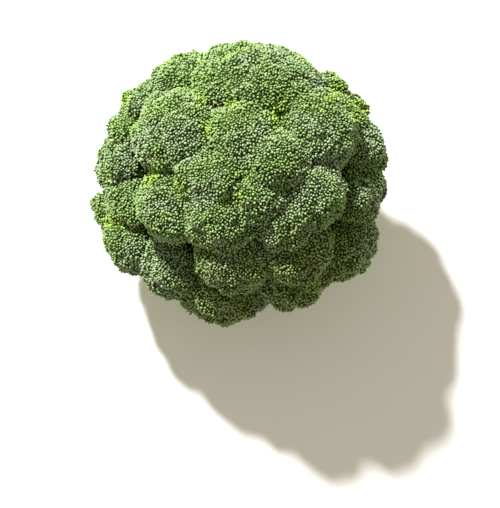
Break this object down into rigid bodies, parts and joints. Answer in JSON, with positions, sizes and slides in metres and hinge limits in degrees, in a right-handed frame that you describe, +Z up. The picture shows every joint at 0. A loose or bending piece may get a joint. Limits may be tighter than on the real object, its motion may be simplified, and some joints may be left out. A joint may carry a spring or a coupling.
{
  "type": "broccoli head",
  "caption": "Whole head of broccoli with a domed crown of tight green florets on spreading branches, standing on the flat cut end of its thick stalk.",
  "frame": {"origin": "middle of the bounding box seen from above, on the plane of the stalk's cut end", "axes": "+Z up along the stalk, from the cut end to the top of the crown; +Y towards the side with the largest floret; +X to the right of it when seen from above"},
  "size_m": [0.154, 0.1476, 0.1273],
  "materials": {
    "stem": "satin plant skin, pale green",
    "buds": "matte closed flower buds, dark green"
  },
  "bodies": {
    "root": {"stalk": "stem", "rim_branch_01": "stem", "rim_branch_02": "stem", "rim_branch_03": "stem", "rim_branch_04": "stem", "rim_branch_05": "stem", "rim_branch_06": "stem", "rim_branch_07": "stem", "rim_branch_08": "stem", "rim_branch_09": "stem", "rim_branch_10": "stem", "rim_branch_11": "stem", "rim_branch_12": "stem", "rim_branch_13": "stem", "rim_branch_14": "stem", "rim_branch_15": "stem", "rim_branch_16": "stem", "rim_branch_17": "stem", "shoulder_branch_01": "stem", "shoulder_branch_02": "stem", "shoulder_branch_03": "stem", "shoulder_branch_04": "stem", "shoulder_branch_05": "stem", "shoulder_branch_06": "stem", "shoulder_branch_07": "stem", "shoulder_branch_08": "stem", "top_branch_01": "stem", "top_branch_02": "stem", "top_branch_03": "stem", "top_branch_04": "stem", "rim_floret_01": "buds", "rim_floret_02": "buds", "rim_floret_03": "buds", "rim_floret_04": "buds", "rim_floret_05": "buds", "rim_floret_06": "buds", "rim_floret_07": "buds", "rim_floret_08": "buds", "rim_floret_09": "buds", "rim_floret_10": "buds", "rim_floret_11": "buds", "rim_floret_12": "buds", "rim_floret_13": "buds", "rim_floret_14": "buds", "rim_floret_15": "buds", "rim_floret_16": "buds", "rim_floret_17": "buds", "shoulder_floret_01": "buds", "shoulder_floret_02": "buds", "shoulder_floret_03": "buds", "shoulder_floret_04": "buds", "shoulder_floret_05": "buds", "shoulder_floret_06": "buds", "shoulder_floret_07": "buds", "shoulder_floret_08": "buds", "top_floret_01": "buds", "top_floret_02": "buds", "top_floret_03": "buds", "top_floret_04": "buds"}
  },
  "joints": []
}
